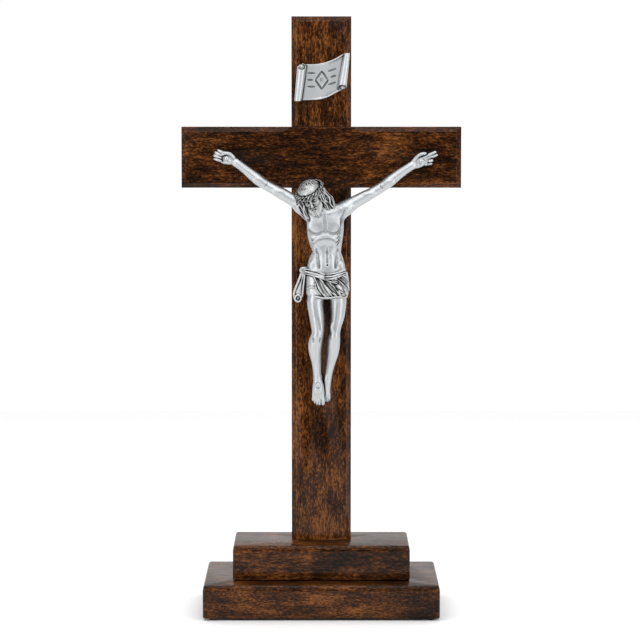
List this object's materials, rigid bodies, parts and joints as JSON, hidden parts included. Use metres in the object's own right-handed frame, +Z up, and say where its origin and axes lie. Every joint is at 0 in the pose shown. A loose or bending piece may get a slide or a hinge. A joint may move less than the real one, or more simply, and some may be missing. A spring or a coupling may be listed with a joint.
{
  "type": "standing crucifix",
  "caption": "Standing altar crucifix: stained wooden cross with chamfered bars on a two-step base, cast metal figure and blank scroll.",
  "frame": {"origin": "on the resting surface, under the middle of the base", "axes": "+Z up along the cross, -Y out of the front face that carries the figure, +X to the viewer's right"},
  "size_m": [0.143, 0.073, 0.3048],
  "materials": {
    "stained_wood": "dark walnut stain under satin lacquer",
    "pewter": null,
    "steel": "plain wood-screw steel",
    "felt": "black felt"
  },
  "bodies": {
    "root": {"felt_pad": "felt", "base_lower_step": "stained_wood", "base_upper_step": "stained_wood", "upright_post": "stained_wood", "crossbar": "stained_wood", "corpus": "pewter", "title_scroll": "pewter", "left_hand_nail": "pewter", "right_hand_nail": "pewter", "foot_nail": "pewter", "upright_screw_left": "steel", "upright_screw_right": "steel", "step_screw_left": "steel", "step_screw_right": "steel"}
  },
  "joints": []
}
